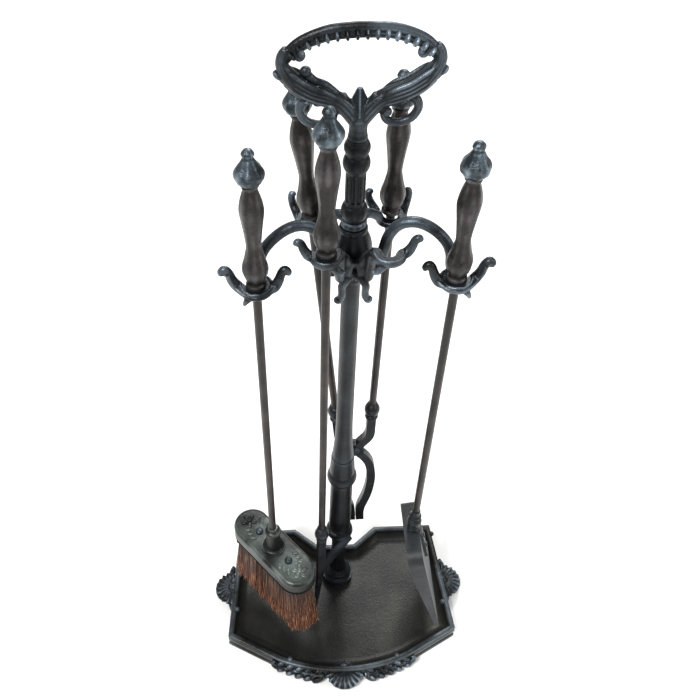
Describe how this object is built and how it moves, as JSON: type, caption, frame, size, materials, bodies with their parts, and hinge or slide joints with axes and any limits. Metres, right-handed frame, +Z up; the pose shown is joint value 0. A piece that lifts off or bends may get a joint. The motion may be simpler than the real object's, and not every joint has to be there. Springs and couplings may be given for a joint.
{
  "type": "fireplace tool set",
  "caption": "Cast-iron companion stand: dished tray, turned column, scrolled hooks and carrying handle, with hanging brush, poker, shovel and scissor tongs.",
  "frame": {"origin": "on the ground, under the middle of the tray's footprint; the column stands 43 mm behind it", "axes": "+Z up along the column, -Y towards the tray's bowed front, +X to the right seen from the front"},
  "size_m": [0.3004, 0.1996, 0.741],
  "materials": {
    "cast_iron": "satin black",
    "finial_iron": "satin blue-grey",
    "grip_iron": "antique brown-black",
    "rod_steel": "brown-black enamel",
    "brush_metal": "satin black",
    "pan_steel": "satin black",
    "fastener": "blackened",
    "wood": "dark stained",
    "bristle": "coarse fibre"
  },
  "bodies": {
    "stand": {"base_tray": "cast_iron", "column_foot": "cast_iron", "lower_column": "cast_iron", "column_collar": "cast_iron", "main_column": "cast_iron", "front_hook_bracket": "cast_iron", "leaf_tendrils": "cast_iron", "bell_cap": "cast_iron", "rear_hook_bracket": "cast_iron", "fluted_column": "cast_iron", "carry_handle": "cast_iron", "tie_rod": "fastener", "tie_washer": "fastener", "tie_nut": "fastener"},
    "brush": {"brush_grip": "grip_iron", "brush_finial": "finial_iron", "brush_rod": "rod_steel", "brush_ferrule": "brush_metal", "brush_cap": "brush_metal", "brush_block": "wood", "brush_screw_front": "fastener", "brush_screw_rear": "fastener", "bristles": "bristle"},
    "poker": {"poker_grip": "grip_iron", "poker_finial": "finial_iron", "poker_rod": "rod_steel", "poker_knob": "cast_iron", "poker_blade": "cast_iron"},
    "shovel": {"shovel_grip": "grip_iron", "shovel_finial": "finial_iron", "shovel_rod": "rod_steel", "shovel_socket": "cast_iron", "shovel_pan": "pan_steel", "shovel_strap": "pan_steel", "shovel_rivet_upper": "fastener", "shovel_rivet_lower": "fastener"},
    "tongs_left": {"tongs_left_grip": "grip_iron", "tongs_left_finial": "finial_iron", "tongs_left_rod": "rod_steel", "tongs_left_knob": "cast_iron", "tongs_left_leg": "cast_iron", "tongs_pivot_pin": "fastener"},
    "tongs_right": {"tongs_right_grip": "grip_iron", "tongs_right_finial": "finial_iron", "tongs_right_rod": "rod_steel", "tongs_right_knob": "cast_iron", "tongs_right_leg": "cast_iron"}
  },
  "joints": [
    {"name": "brush_lift", "type": "slide", "parent": "stand", "child": "brush", "axis": [0, 0, 1], "range_m": [0, 0.08]},
    {"name": "poker_lift", "type": "slide", "parent": "stand", "child": "poker", "axis": [0, 0, 1], "range_m": [0, 0.08]},
    {"name": "shovel_lift", "type": "slide", "parent": "stand", "child": "shovel", "axis": [0, 0, 1], "range_m": [0, 0.08]},
    {"name": "tongs_lift", "type": "slide", "parent": "stand", "child": "tongs_left", "axis": [0, 0.8211, 0.5708], "range_m": [0, 0.3]},
    {"name": "tongs_open", "type": "hinge", "parent": "tongs_left", "child": "tongs_right", "pos_m": [0.01387, 0.06477, 0.25263], "axis": [0, 1, 0], "range_deg": [0, 16.6]}
  ],
  "couplings": [
    {"joint": "tongs_open", "follows": "tongs_lift", "rad_per_m": 0.96}
  ]
}
